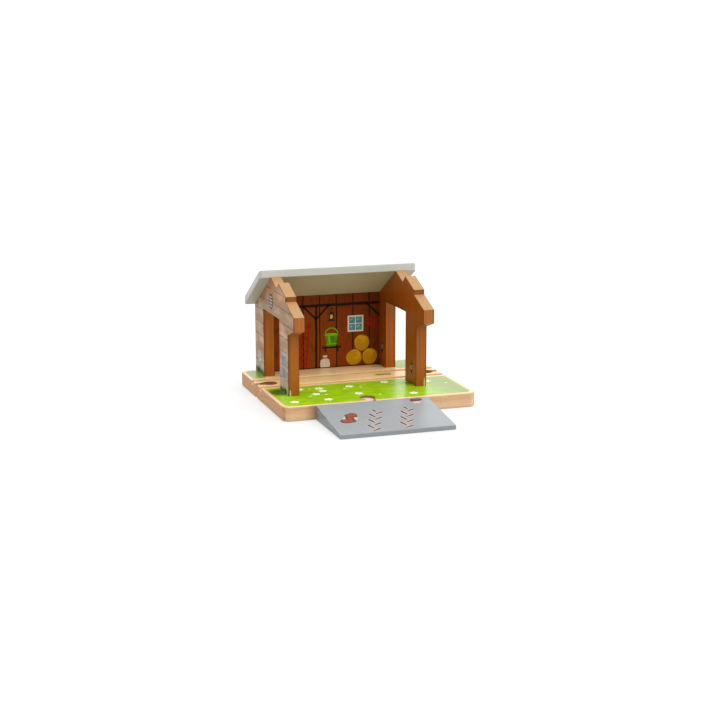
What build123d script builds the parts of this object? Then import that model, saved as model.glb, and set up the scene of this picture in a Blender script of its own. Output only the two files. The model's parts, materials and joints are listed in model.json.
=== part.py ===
from build123d import *
from math import cos, radians, sin, tan
import os

# Toy railway barn: a grooved plinth, two gabled end walls, a back wall, half a roof and a loose ramp.
# Millimetres. +X runs along the track, -Y is the open front and +Z is up. The origin is the middle of
# the plinth's underside. The walls stand on the plinth, so their heights are taken from its top.

# ---- driving dimensions ------------------------------------------------------------------------

# plinth: one board with the track cut into it
plinth_length = 165.0
plinth_depth = 140.0
plinth_thickness = 12.0
plinth_corner_radius = 6.0
plinth_edge_round = 0.9

# track: two wheel grooves, and a keyhole socket at each end for the next length of track
track_centre_y = 16.0
groove_spacing = 26.0
groove_width = 6.0
groove_depth = 3.0
groove_chamfer = 0.4
socket_radius = 6.5
socket_throat = 7.5
socket_setback = 12.0

# gables: the two end walls, each with a doorway over the track
barn_centre_x = -8.5
barn_length = 120.4
gable_thickness = 9.5
gable_height = 90.3
gable_rear_inset = 0.4
gable_edge_round = 0.5
roof_pitch = 30.5
doorway_width = 50.5
doorway_height = 59.3

# the front slope of a gable is cut as three lapped boards, with a soffit under the last one
first_board_run = 17.4
first_board_drop = 6.6
notch_run = 5.9
notch_rise = 5.6
second_board_run = 21.3
second_board_drop = 8.3
second_board_edge = 4.1
third_board_run = 23.3
third_board_drop = 9.0
fascia_height = 11.7
soffit_run = 16.9
soffit_drop = 5.6

# back wall: a thin board housed in grooves in both gables
wall_thickness = 5.5
wall_rear_inset = 6.6
housing_depth = 3.0

# roof: one board over the rear slope, cut plumb at the ridge and at the eave
roof_thickness = 6.0
roof_overhang = 9.5
roof_eave_overhang = 0.4
roof_corner_round = 3.0
roof_edge_round = 0.7

# ramp: a wedge that plugs into the front of the plinth with a keyhole peg
ramp_width = 95.0
ramp_run = 63.5
ramp_toe = 3.6
ramp_edge_round = 0.6
ramp_gap = 0.3
peg_head_radius = 5.9
peg_neck_width = 6.0
peg_underside = 1.0
peg_height = 9.2
peg_edge_round = 0.8
tenon_width = 6.0
tenon_height = 5.6
tenon_length = 14.0
tenon_underside = 2.2
peg_pin_radius = 1.0
peg_pin_length = 7.0
peg_pin_setback = 7.0

# countersunk wood screws, driven up through the plinth
screw_radius = 1.5
screw_core_radius = 1.05
screw_length = 25.0
screw_thread_length = 15.0
screw_thread_pitch = 1.25
screw_point = 3.0
screw_head_radius = 3.0
screw_head_sink = 0.3
screw_recess_width = 0.9
screw_recess_length = 3.2
screw_recess_depth = 1.4
screw_recess_taper = 12.0
leg_screw_from_doorway = 8.0
wall_screw_spread = 64.0

# beech dowels between the legs and the plinth
dowel_radius = 2.0
dowel_length = 18.0
dowel_chamfer = 0.5
dowel_in_plinth = 8.0
dowel_from_leg_edge = 3.5

# round-head pins through the roof into the gables
roof_pin_radius = 0.7
roof_pin_length = 14.0
roof_pin_head_radius = 1.3
roof_pin_head = 0.6
roof_pin_point = 1.2
upper_pin_from_ridge = 12.0
lower_pin_from_ridge = 34.0

# clearances
glue_gap = 0.05
hole_end_gap = 0.4
housing_gap = 0.1

# ---- places worked out from them ---------------------------------------------------------------

plinth_front_y = -plinth_depth / 2
plinth_rear_y = plinth_depth / 2
plinth_end_x = plinth_length / 2

gable_rear_y = plinth_rear_y - gable_rear_inset
left_gable_x = barn_centre_x - barn_length / 2
right_gable_x = barn_centre_x + barn_length / 2 - gable_thickness
apex_y = track_centre_y
apex_z = plinth_thickness + gable_height
door_front_y = track_centre_y - doorway_width / 2
door_rear_y = track_centre_y + doorway_width / 2

wall_rear_y = gable_rear_y - wall_rear_inset
wall_front_y = wall_rear_y - wall_thickness
wall_length = barn_length - 2 * gable_thickness + 2 * (housing_depth - housing_gap)

roof_eave_y = gable_rear_y + roof_eave_overhang
roof_plumb_thickness = roof_thickness / cos(radians(roof_pitch))

ramp_back_y = plinth_front_y - ramp_gap
fascia_y = apex_y - first_board_run - notch_run - second_board_run - third_board_run
leg_front_y = fascia_y + soffit_run

PARTS_FOLDER = "parts"


def roof_underside(y):
    """Height of the rear slope at that depth."""
    return apex_z - (y - apex_y) * tan(radians(roof_pitch))


def keyhole(setback, head_radius, throat, overrun):
    """Sketch of a keyhole whose head is centred on the origin and whose throat runs towards -Y."""
    with BuildSketch() as shape:
        Circle(head_radius)
        with Locations((0, -(setback + overrun) / 2)):
            Rectangle(throat, setback + overrun)
    return shape.sketch


def save(piece, name):
    """Label a finished piece and write it as one STEP file."""
    piece.part.label = name
    export_step(piece.part, f"{PARTS_FOLDER}/{name}.step")


# ---- where the fasteners stand -----------------------------------------------------------------

leg_screw_y = {
    "front": door_front_y - leg_screw_from_doorway,
    "rear": door_rear_y + leg_screw_from_doorway,
}
leg_dowel_y = {
    "front": leg_front_y + dowel_from_leg_edge,
    "rear": gable_rear_y - dowel_from_leg_edge,
}
gable_middle_x = {
    "left": left_gable_x + gable_thickness / 2,
    "right": right_gable_x + gable_thickness / 2,
}
wall_screw_x = {
    "left": barn_centre_x - wall_screw_spread / 2,
    "right": barn_centre_x + wall_screw_spread / 2,
}
wall_middle_y = (wall_front_y + wall_rear_y) / 2

leg_screws = [(gable_middle_x[s], leg_screw_y[e]) for s in gable_middle_x for e in leg_screw_y]
wall_screws = [(x, wall_middle_y) for x in wall_screw_x.values()]
leg_dowels = [(gable_middle_x[s], leg_dowel_y[e]) for s in gable_middle_x for e in leg_dowel_y]


def roof_pin_plane(x, from_ridge):
    """Plane on the roof's top face, with its Z axis pointing out of the roof."""
    y = apex_y + from_ridge
    z = roof_underside(y) + roof_plumb_thickness
    tilt = radians(roof_pitch)
    return Plane(origin=(x, y, z), x_dir=(1, 0, 0), z_dir=(0, sin(tilt), cos(tilt)))


roof_pin_planes = {
    f"{side}_{level}": roof_pin_plane(gable_middle_x[side], run)
    for side in gable_middle_x
    for level, run in {"upper": upper_pin_from_ridge, "lower": lower_pin_from_ridge}.items()
}

os.makedirs(PARTS_FOLDER, exist_ok=True)

# ---- plinth ------------------------------------------------------------------------------------

groove_floor_z = plinth_thickness - groove_depth
groove_half = groove_width / 2

with BuildPart() as plinth:
    with BuildSketch():
        RectangleRounded(plinth_length, plinth_depth, plinth_corner_radius)
    extrude(amount=plinth_thickness)
    fillet(plinth.faces().sort_by(Axis.Z)[-1].edges(), plinth_edge_round)
    fillet(plinth.faces().sort_by(Axis.Z)[0].edges(), plinth_edge_round)

    # wheel grooves, with eased upper edges
    with BuildSketch(Plane.YZ.offset(-plinth_end_x)):
        for side in (-1, 1):
            middle = track_centre_y + side * groove_spacing / 2
            with BuildLine():
                Polyline(
                    (middle - groove_half, groove_floor_z),
                    (middle - groove_half, plinth_thickness - groove_chamfer),
                    (middle - groove_half - groove_chamfer, plinth_thickness),
                    (middle + groove_half + groove_chamfer, plinth_thickness),
                    (middle + groove_half, plinth_thickness - groove_chamfer),
                    (middle + groove_half, groove_floor_z),
                    close=True,
                )
            make_face()
    extrude(amount=plinth_length, mode=Mode.SUBTRACT)

    # keyhole sockets: one at each end of the track, and one at the front for the ramp
    socket_places = [
        (-plinth_end_x + socket_setback, track_centre_y, -90),
        (plinth_end_x - socket_setback, track_centre_y, 90),
        (barn_centre_x, plinth_front_y + socket_setback, 0),
    ]
    with BuildSketch():
        for x, y, turn in socket_places:
            with Locations(Location((x, y, 0), turn)):
                add(keyhole(socket_setback, socket_radius, socket_throat, plinth_edge_round))
    extrude(amount=plinth_thickness, mode=Mode.SUBTRACT)

    # countersunk screw holes from below
    with Locations(*[Plane((x, y, 0), z_dir=(0, 0, -1)) for x, y in leg_screws + wall_screws]):
        CounterSinkHole(
            radius=screw_radius + glue_gap,
            counter_sink_radius=screw_head_radius + screw_head_sink + glue_gap,
            depth=plinth_thickness,
            counter_sink_angle=90,
        )

    # blind dowel holes in the top
    with BuildSketch(Plane.XY.offset(plinth_thickness)):
        with Locations(leg_dowels):
            Circle(dowel_radius + glue_gap)
    extrude(amount=-(dowel_in_plinth + hole_end_gap), mode=Mode.SUBTRACT)
save(plinth, "plinth")

# ---- gables ------------------------------------------------------------------------------------


def gable_outline():
    """Corners of a gable in Y and Z, from the front foot round over the ridge to the rear foot."""
    notch_y = apex_y - first_board_run
    notch_z = apex_z - first_board_drop
    second_y = notch_y - notch_run
    second_z = notch_z + notch_rise
    third_y = second_y - second_board_run
    second_end_z = second_z - second_board_drop
    third_z = second_end_z - second_board_edge
    fascia_z = third_z - third_board_drop
    soffit_z = fascia_z - fascia_height
    return [
        (leg_front_y, plinth_thickness),
        (leg_front_y, soffit_z - soffit_drop),
        (fascia_y, soffit_z),
        (fascia_y, fascia_z),
        (third_y, third_z),
        (third_y, second_end_z),
        (second_y, second_z),
        (notch_y, notch_z),
        (apex_y, apex_z),
        (gable_rear_y, roof_underside(gable_rear_y)),
        (gable_rear_y, plinth_thickness),
    ]


def build_gable(side, gable_x):
    """One end wall, with its doorway, the housing for the back wall and its fastener holes."""
    inner_x = gable_x + (gable_thickness if side == "left" else 0)
    into_wood = -1 if side == "left" else 1
    with BuildPart() as gable:
        with BuildSketch(Plane.YZ.offset(gable_x)):
            with BuildLine():
                Polyline(*gable_outline(), close=True)
            make_face()
            with Locations((track_centre_y, plinth_thickness + doorway_height / 2)):
                Rectangle(doorway_width, doorway_height, mode=Mode.SUBTRACT)
        extrude(amount=gable_thickness)
        rims = gable.faces().filter_by(Axis.X).edges()
        fillet(rims.filter_by(lambda edge: edge.center().Z > plinth_thickness), gable_edge_round)

        # housing for the back wall, open at the foot and at the slope
        with BuildSketch(Plane.YZ.offset(inner_x)):
            with Locations((wall_middle_y, plinth_thickness)):
                Rectangle(
                    wall_thickness + 2 * housing_gap,
                    gable_height,
                    align=(Align.CENTER, Align.MIN),
                )
        extrude(amount=into_wood * housing_depth, mode=Mode.SUBTRACT)

        # pilot holes for the screws and blind holes for the dowels, up into the legs
        middle_x = gable_middle_x[side]
        with BuildSketch(Plane.XY.offset(plinth_thickness)):
            with Locations([(middle_x, y) for y in leg_screw_y.values()]):
                Circle(screw_radius + glue_gap)
        screw_in_leg = screw_length + screw_head_sink - plinth_thickness + hole_end_gap
        extrude(amount=screw_in_leg, mode=Mode.SUBTRACT)
        with BuildSketch(Plane.XY.offset(plinth_thickness)):
            with Locations([(middle_x, y) for y in leg_dowel_y.values()]):
                Circle(dowel_radius + glue_gap)
        extrude(amount=dowel_length - dowel_in_plinth + hole_end_gap, mode=Mode.SUBTRACT)

        # pin holes, square to the rear slope
        for level in ("upper", "lower"):
            with BuildSketch(roof_pin_planes[f"{side}_{level}"]):
                Circle(roof_pin_radius + glue_gap)
            extrude(amount=-(roof_pin_length + hole_end_gap), mode=Mode.SUBTRACT)
    save(gable, f"{side}_gable")


build_gable("left", left_gable_x)
build_gable("right", right_gable_x)

# ---- back wall ---------------------------------------------------------------------------------

with BuildPart() as back_wall:
    with BuildSketch(Plane.YZ.offset(barn_centre_x - wall_length / 2)):
        with BuildLine():
            Polyline(
                (wall_front_y, plinth_thickness),
                (wall_front_y, roof_underside(wall_front_y)),
                (wall_rear_y, roof_underside(wall_rear_y)),
                (wall_rear_y, plinth_thickness),
                close=True,
            )
        make_face()
    extrude(amount=wall_length)
    with BuildSketch(Plane.XY.offset(plinth_thickness)):
        with Locations(wall_screws):
            Circle(screw_radius + glue_gap)
    screw_in_wall = screw_length + screw_head_sink - plinth_thickness + hole_end_gap
    extrude(amount=screw_in_wall, mode=Mode.SUBTRACT)
save(back_wall, "back_wall")

# ---- roof --------------------------------------------------------------------------------------

with BuildPart() as roof_panel:
    with BuildSketch(Plane.YZ.offset(left_gable_x - roof_overhang)):
        with BuildLine():
            Polyline(
                (apex_y, roof_underside(apex_y)),
                (apex_y, roof_underside(apex_y) + roof_plumb_thickness),
                (roof_eave_y, roof_underside(roof_eave_y) + roof_plumb_thickness),
                (roof_eave_y, roof_underside(roof_eave_y)),
                close=True,
            )
        make_face()
    extrude(amount=barn_length + 2 * roof_overhang)
    fillet(roof_panel.edges().filter_by(Axis.Z), roof_corner_round)
    fillet(roof_panel.edges(), roof_edge_round)
    for pin_plane in roof_pin_planes.values():
        with BuildSketch(pin_plane):
            Circle(roof_pin_radius + glue_gap)
        extrude(amount=-2 * roof_thickness, mode=Mode.SUBTRACT)
        with BuildSketch(pin_plane):
            Circle(roof_pin_head_radius + glue_gap)
        extrude(amount=-(roof_pin_head + glue_gap), mode=Mode.SUBTRACT)
save(roof_panel, "roof_panel")

# ---- ramp and its peg --------------------------------------------------------------------------

peg_head_y = plinth_front_y + socket_setback
tenon_middle_z = tenon_underside + tenon_height / 2
peg_pin_y = ramp_back_y - peg_pin_setback

with BuildPart() as ramp:
    with BuildSketch(Plane.YZ.offset(barn_centre_x - ramp_width / 2)):
        with BuildLine():
            Polyline(
                (ramp_back_y, 0),
                (ramp_back_y, plinth_thickness),
                (ramp_back_y - ramp_run, ramp_toe),
                (ramp_back_y - ramp_run, 0),
                close=True,
            )
        make_face()
    extrude(amount=ramp_width)
    fillet(ramp.edges(), ramp_edge_round)
    # mortise for the peg's tenon
    with BuildSketch(Plane.XZ.offset(-ramp_back_y)):
        with Locations((barn_centre_x, tenon_middle_z)):
            Rectangle(tenon_width + 2 * glue_gap, tenon_height + 2 * glue_gap)
    extrude(amount=tenon_length + hole_end_gap, mode=Mode.SUBTRACT)
    # hole for the cross pin, from below
    with BuildSketch():
        with Locations((barn_centre_x, peg_pin_y)):
            Circle(peg_pin_radius + glue_gap)
    extrude(amount=peg_pin_length + hole_end_gap, mode=Mode.SUBTRACT)
save(ramp, "ramp")

with BuildPart() as ramp_peg:
    with BuildSketch(Plane.XY.offset(peg_underside)):
        with Locations((barn_centre_x, peg_head_y)):
            add(keyhole(peg_head_y - ramp_back_y, peg_head_radius, peg_neck_width, 0))
    extrude(amount=peg_height)
    fillet(ramp_peg.faces().sort_by(Axis.Z)[-1].edges(), peg_edge_round)
    with BuildSketch(Plane.XZ.offset(-ramp_back_y)):
        with Locations((barn_centre_x, tenon_middle_z)):
            Rectangle(tenon_width, tenon_height)
    extrude(amount=tenon_length)
    with BuildSketch():
        with Locations((barn_centre_x, peg_pin_y)):
            Circle(peg_pin_radius + glue_gap)
    extrude(amount=peg_pin_length + hole_end_gap, mode=Mode.SUBTRACT)
save(ramp_peg, "ramp_peg")

with BuildPart() as ramp_peg_pin:
    with BuildSketch(Plane.XY.offset(ramp_edge_round)):
        with Locations((barn_centre_x, peg_pin_y)):
            Circle(peg_pin_radius)
    extrude(amount=peg_pin_length - ramp_edge_round)
save(ramp_peg_pin, "ramp_peg_pin")

# ---- screws ------------------------------------------------------------------------------------


def screw_profile():
    """Half outline of a countersunk screw, from its head's rim to its point, with ring threads."""
    head_z = screw_head_sink
    shank_z = head_z + screw_head_radius - screw_radius
    tip_z = head_z + screw_length
    thread_start_z = tip_z - screw_thread_length
    points = [(0, head_z), (screw_head_radius, head_z), (screw_radius, shank_z)]
    points.append((screw_radius, thread_start_z - screw_thread_pitch))
    z = thread_start_z
    while z + screw_thread_pitch <= tip_z - screw_point:
        points += [
            (screw_core_radius, z),
            (screw_radius, z + screw_thread_pitch / 2),
            (screw_core_radius, z + screw_thread_pitch * 0.75),
        ]
        z += screw_thread_pitch
    points.append((screw_core_radius, tip_z - screw_point))
    points.append((0, tip_z))
    return points


def build_screw(name, x, y):
    """One countersunk screw standing point upwards, with a cross recess in its head."""
    with BuildPart() as screw:
        with BuildSketch(Plane((x, y, 0), x_dir=(1, 0, 0), z_dir=(0, -1, 0))):
            with BuildLine():
                Polyline(*screw_profile(), close=True)
            make_face()
        revolve(axis=Axis((x, y, 0), (0, 0, 1)))
        with BuildSketch(Plane.XY.offset(screw_head_sink)):
            with Locations((x, y)):
                Rectangle(screw_recess_length, screw_recess_width)
                Rectangle(screw_recess_width, screw_recess_length)
        extrude(amount=screw_recess_depth, taper=screw_recess_taper, mode=Mode.SUBTRACT)
    save(screw, name)


for side, x in gable_middle_x.items():
    for leg, y in leg_screw_y.items():
        build_screw(f"{side}_{leg}_leg_screw", x, y)
for side, x in wall_screw_x.items():
    build_screw(f"{side}_wall_screw", x, wall_middle_y)

# ---- dowels ------------------------------------------------------------------------------------

for side, x in gable_middle_x.items():
    for leg, y in leg_dowel_y.items():
        with BuildPart() as dowel:
            with Locations((x, y, plinth_thickness - dowel_in_plinth)):
                Cylinder(dowel_radius, dowel_length, align=(Align.CENTER, Align.CENTER, Align.MIN))
            chamfer(dowel.edges().filter_by(GeomType.CIRCLE), dowel_chamfer)
        save(dowel, f"{side}_{leg}_leg_dowel")

# ---- roof pins ---------------------------------------------------------------------------------

for place, pin_plane in roof_pin_planes.items():
    with BuildPart() as roof_pin:
        with BuildSketch(pin_plane):
            Circle(roof_pin_head_radius)
        extrude(amount=-roof_pin_head)
        with BuildSketch(pin_plane.offset(-roof_pin_head)):
            Circle(roof_pin_radius)
        extrude(amount=-(roof_pin_length - roof_pin_head))
        point = roof_pin.faces().filter_by(GeomType.PLANE).sort_by(Axis.Z)[0]
        chamfer(point.edges(), roof_pin_point, roof_pin_radius * 0.8)
    save(roof_pin, f"{place}_roof_pin")
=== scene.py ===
import json
import math
import random

import bpy
from bpy.props import FloatProperty, FloatVectorProperty, IntProperty, PointerProperty
from bpy.types import Operator, Panel, PropertyGroup
from mathutils import Matrix, Vector


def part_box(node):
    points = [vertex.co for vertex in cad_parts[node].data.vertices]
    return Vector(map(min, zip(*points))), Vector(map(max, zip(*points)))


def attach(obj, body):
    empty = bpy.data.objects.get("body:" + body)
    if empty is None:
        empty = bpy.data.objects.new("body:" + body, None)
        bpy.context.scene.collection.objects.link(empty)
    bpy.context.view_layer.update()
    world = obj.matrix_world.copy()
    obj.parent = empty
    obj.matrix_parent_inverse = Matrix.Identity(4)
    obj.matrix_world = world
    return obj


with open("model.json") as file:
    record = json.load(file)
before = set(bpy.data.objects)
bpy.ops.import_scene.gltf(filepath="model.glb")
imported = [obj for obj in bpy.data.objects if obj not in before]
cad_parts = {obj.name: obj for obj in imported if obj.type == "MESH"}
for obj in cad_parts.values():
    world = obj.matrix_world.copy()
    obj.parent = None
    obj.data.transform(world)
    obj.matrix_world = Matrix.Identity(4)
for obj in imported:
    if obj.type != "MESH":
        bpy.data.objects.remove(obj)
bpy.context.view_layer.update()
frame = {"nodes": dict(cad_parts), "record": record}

bl_info = {
    "name": "Toy railway barn",
    "version": (1, 0, 0),
    "blender": (4, 5, 0),
    "location": "View3D > Sidebar > Barn",
    "description": "Paints, prints and lights a wooden toy barn on its packed frame",
    "category": "Object",
}

MM = 0.001

# ---- places, read from the frame and kept in metres --------------------------------------------

plinth_low, plinth_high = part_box("plinth")
left_low, left_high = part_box("left_gable")
right_low, right_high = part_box("right_gable")
wall_low, wall_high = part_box("back_wall")
ramp_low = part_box("ramp")[0]
peg_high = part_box("ramp_peg")[1]
mounts = {mount["name"]: mount for mount in frame["record"]["mounts"]}
openings = {opening["name"]: opening for opening in frame["record"]["physics"]["openings"]}

deck = plinth_high.z
barn_top = left_high.z
track_y = mounts["left_track_socket"]["pos_m"][1]
half_track = 20 * MM
doorway_front, doorway_rear = (corner[1] for corner in openings["left_doorway"]["box_m"])
doorway_top = openings["left_doorway"]["box_m"][1][2]
barn_x = (left_low.x + right_high.x) / 2
half_barn = (right_high.x - left_low.x) / 2
socket_x = mounts["right_track_socket"]["pos_m"][0]
peg_head_y = peg_high.y - 6 * MM
SOCKETS = ((-socket_x, track_y), (socket_x, track_y), (barn_x, peg_head_y))

# ---- the same places in millimetres, for what is drawn on the walls ----------------------------

floor_line = deck / MM
wall_left, wall_right = left_high.x / MM, right_low.x / MM
wall_top = wall_high.z / MM
beam_y = wall_top - 9.5
shelf_x, shelf_y = wall_left + 56.5, floor_line + 18.4
gable_foot = [v.co.y for v in frame["nodes"]["left_gable"].data.vertices if v.co.z < deck + 0.1 * MM]
front_leg_low, front_leg_high = min(gable_foot) / MM, doorway_front / MM
rear_leg_low, rear_leg_high = doorway_rear / MM, max(gable_foot) / MM
front_leg_y = (front_leg_low + front_leg_high) / 2
rear_leg_y = (rear_leg_low + rear_leg_high) / 2


def linear(hex_colour):
    """Linear RGBA of an sRGB hex colour."""
    channels = [int(hex_colour[i:i + 2], 16) / 255 for i in (1, 3, 5)]
    flat = [c / 12.92 if c <= 0.04045 else ((c + 0.055) / 1.055) ** 2.4 for c in channels]
    return (*flat, 1.0)


def colour(label, note, hex_colour):
    """One colour that a user can change."""
    return FloatVectorProperty(
        name=label, description=note, default=linear(hex_colour), subtype="COLOR", size=4, min=0, max=1
    )


def length(label, note, millimetres):
    """One length that a user can change."""
    return FloatProperty(
        name=label, description=note, default=millimetres * MM, unit="LENGTH", precision=5, min=0
    )


# ---- what a user can change --------------------------------------------------------------------


class BarnSizes(PropertyGroup):
    print_thickness: length("Print thickness", "How far a printed shape stands off the wood", 0.06)
    print_border: length("Bare border", "Bare wood between the printed grass and the edge", 2.8)
    print_corner: length("Grass corner", "Corner radius of the printed grass", 6.0)
    plank_height: length("Outside plank", "Height of a printed plank on the outside walls", 11.5)
    plank_length: length("Plank length", "Longest printed plank on the outside walls", 62.0)
    plank_width: length("Inside plank", "Width of a printed plank inside the barn", 15.3)
    plank_seam: length("Plank seam", "Width of the dark line between planks", 0.8)
    plank_start: length("First plank", "Height of the lowest printed plank's top edge", 11.9)
    beam: length("Beam", "Height of the printed beam inside the barn", 2.4)
    post: length("Post", "Width of the printed post and its braces", 1.9)
    pane: length("Window pane", "Width of one pane of the inside window", 5.6)
    bale: length("Round bale", "Width of one printed round bale", 14.6)
    bucket: length("Bucket", "Width of the printed bucket's rim", 12.0)
    flower: length("Flower", "Width of a large printed flower", 7.8)
    blade: length("Grass blade", "Height of the tallest printed grass blade", 7.0)
    tread: length("Tyre tread", "Length of one bar of a tyre mark", 7.2)
    tread_pitch: length("Tread pitch", "From one bar of a tyre mark to the next", 11.7)
    flowers: IntProperty(name="Flowers", description="How many flowers are printed", default=22, min=0)
    seed: IntProperty(name="Seed", description="Seed of every random place", default=11, min=0)


class BarnColours(PropertyGroup):
    beech_pale: colour("Pale beech", "Light growth of the bare wood", "#EDC598")
    beech_warm: colour("Warm beech", "Warm growth of the bare wood", "#E3B483")
    beech_fleck: colour("Beech fleck", "The short dark dashes in beech", "#B07C4E")
    planed: colour("Planed beech", "Top of the plinth where it is bare", "#FBE2A2")
    planed_warm: colour("Warm planed beech", "Warm growth of the plinth's bare top", "#F1CE93")
    end_grain: colour("End grain", "Sawn ends of the plinth", "#D39D6B")
    peg_pale: colour("Peg", "The pale beech of the ramp's peg", "#DFCBBC")
    oiled: colour("Oiled slope", "Bare sloping cuts of the gables", "#B48B58")
    straw_wood: colour("Golden slope", "Patches where the oil has soaked in", "#C08E45")
    grass: colour("Grass", "Printed grass", "#90C00C")
    grass_light: colour("Light grass", "Light patches of the printed grass", "#A0CE18")
    # painted shade: a duller, darker green for the grass at the right end, beside the right gable; the same
    # green is used behind the track
    grass_worn: colour("Worn grass", "Print that daylight has faded, at the right end", "#869542")
    grass_dark: colour("Dark grass", "Tufts and shadows in the grass", "#24560E")
    petal: colour("White petal", "Large printed flowers", "#FAFCE2")
    petal_shade: colour("Petal shade", "Brush strokes in the large flowers", "#E9ECC8")
    cream: colour("Cream petal", "Small printed flowers", "#EDEBA0")
    cream_shade: colour("Cream shade", "Brush strokes in the small flowers", "#C9DA6A")
    heart: colour("Flower heart", "Middle of a large flower", "#F0E07A")
    brown: colour("Brown paint", "Gables, risers and doorways", "#AE6010")
    weathered: colour("Weathered plank", "Outside planks", "#9C7038")
    # a paler grey for the foot of the outside planks
    bleached: colour("Bleached plank", "Foot of the outside planks", "#A9A098")
    plank_red: colour("Inside plank", "Inside of the back wall", "#8C3B07")
    seam: colour("Seam", "Lines between planks, and the printed timbers", "#200802")
    roof_grey: colour("Roof grey", "Roof paint", "#D4D5CF")
    # painted shade: the warm grey under the roof stands in for the shade and brown bounce light of the walls
    soffit_grey: colour("Soffit grey", "Thin paint under the roof", "#C2BCA6")
    ramp_grey: colour("Ramp grey", "Ramp paint", "#9A9EA1")
    zinc: colour("Zinc", "Plating of the screws", "#B9B4A4")
    steel: colour("Steel", "The roof pins", "#C2C2C0")
    straw: colour("Straw", "Bales", "#E8B410")
    straw_dark: colour("Dark straw", "Rings and stalks of a bale", "#9A4F0A")
    leaf: colour("Bucket green", "Green bucket", "#5B9408")
    slate: colour("Slate blue", "Shutters", "#7E8E93")
    glass: colour("Window glass", "Printed panes", "#5E9CAF")
    white: colour("Off white", "Window frames and sacks", "#EFEADB")
    red: colour("Red", "Ladder and rope", "#B0160A")
    iron: colour("Iron", "Lantern, plates and hooks", "#14100F")
    mud: colour("Mud", "Mud on the ramp", "#95503A")
    mud_pale: colour("Thin mud", "Smears beside the tyre marks", "#CFBDB9")
    tread_ink: colour("Tyre mark", "Marks on the ramp", "#3C2A2A")


def sizes():
    return bpy.context.scene.barn_sizes


def drawn(name):
    """One of the scene's sizes in millimetres, for drawing."""
    return getattr(sizes(), name) / MM


def tint(name, share=1.0):
    """One of the scene's colours as a plain tuple, or a darker or lighter version of it."""
    rgb = tuple(getattr(bpy.context.scene.barn_colours, name))[:3]
    return (*(min(1.0, channel * share) for channel in rgb), 1.0)


# ---- nodes and masks ---------------------------------------------------------------------------

SMOOTH = {"interpolation_type": "SMOOTHSTEP"}
WHITE = (1, 1, 1, 1)
X, Y, Z = 0, 1, 2


def add(tree, kind, *feeds, **named):
    """Add one node. Small names are its settings and capitalised ones its inputs.

    What has no name goes to its visible inputs in their order. A node feeds its first visible output."""
    node = tree.nodes.new("ShaderNode" + kind)
    for name in filter(str.islower, named):
        setattr(node, name, named[name])
    fed = list(zip([socket for socket in node.inputs if socket.enabled], feeds))
    fed += [(node.inputs[name.replace("_", " ")], named[name]) for name in named if not name.islower()]
    for socket, feed in fed:
        if isinstance(feed, bpy.types.Node):
            feed = next(output for output in feed.outputs if output.enabled)
        if isinstance(feed, bpy.types.NodeSocket):
            tree.links.new(feed, socket)
        else:
            socket.default_value = feed
    return node


def blank(name):
    """A material with nothing in it yet, and its node tree."""
    material = bpy.data.materials.new(name)
    material.use_nodes = True
    material.node_tree.nodes.clear()
    return material, material.node_tree


def surface(tree, finish, height=None, depth_mm=0.0, strength=0.6, **inputs):
    """Wire a finish to the output, with bump from a height between 0 and 1 and the shader's other inputs."""
    shader = add(tree, "BsdfPrincipled", Base_Color=finish, **inputs)
    if height:
        bump = add(tree, "Bump", Strength=strength, Distance=depth_mm * MM, Height=height)
        tree.links.new(bump.outputs["Normal"], shader.inputs["Normal"])
    add(tree, "OutputMaterial", shader)


def layered(tree, finish, *coats):
    """A colour with each coat laid over it in turn. A coat is its colour and the masks that bound it."""
    for over, mask, *others in coats:
        for other in others:
            mask = add(tree, "Math", mask, other, operation="MULTIPLY")
        finish = add(tree, "Mix", mask, finish, over, data_type="RGBA")
    return finish


def coordinate(tree, axis, kind="Object"):
    """Where the shaded point lies along one axis, in metres, or its normal's share along it."""
    return add(tree, "SeparateXYZ", add(tree, "TexCoord").outputs[kind]).outputs[axis]


def apart(tree, value, place):
    """How far a value lies from a place, on either side."""
    return add(tree, "Math", add(tree, "Math", value, place, operation="SUBTRACT"), operation="ABSOLUTE")


def faces_towards(tree, axis, sign=1, least=0.7):
    """Mask of the faces whose normal points along that axis."""
    along = add(tree, "Math", coordinate(tree, axis, "Normal"), sign, operation="MULTIPLY")
    return add(tree, "MapRange", along, least - 0.05, least + 0.05, **SMOOTH)


def sawn_ends(tree):
    """Mask of a board's two ends, where it was sawn across its grain."""
    left, right = faces_towards(tree, X, -1), faces_towards(tree, X)
    return add(tree, "Math", left, right, operation="MAXIMUM")


def fade(tree, axis, start, end, at_start=0.0, at_end=1.0):
    """Mask that changes smoothly along one axis, between two places in metres."""
    return add(tree, "MapRange", coordinate(tree, axis), start, end, at_start, at_end, **SMOOTH)


def near(tree, x, y, reach, soft):
    """Mask of what lies within reach of an upright line at x, y, fading out over the soft width."""
    place = add(tree, "TexCoord").outputs["Object"]
    flat = add(tree, "VectorMath", place, (1, 1, 0), operation="MULTIPLY")
    distance = add(tree, "VectorMath", flat, (x, y, 0), operation="DISTANCE")
    return add(tree, "MapRange", distance, reach, reach + soft, 1.0, 0.0, **SMOOTH)


def streaks(tree, along, across_mm, along_mm, detail=3.0, distortion=0.0, offset=0.0):
    """Noise drawn out along one axis. A feature is about across_mm wide and along_mm long."""
    scale = [1 / (across_mm * MM)] * 3
    scale[along] = 1 / (along_mm * MM)
    place = add(tree, "TexCoord").outputs["Object"]
    drawn_out = add(tree, "Mapping", Vector=place, Scale=scale, Location=[offset] * 3)
    return add(tree, "TexNoise", Vector=drawn_out, Scale=1.0, Detail=detail, Distortion=distortion)


def mottle(tree, low, high, amount, along, across_mm, along_mm, least=0.0, **noise):
    """Mask of irregular streaks, from least to amount as their noise passes from low to high."""
    strokes = streaks(tree, along, across_mm, along_mm, **noise)
    return add(tree, "MapRange", strokes, low, high, least, amount, **SMOOTH)


# ---- patterns ----------------------------------------------------------------------------------


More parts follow.
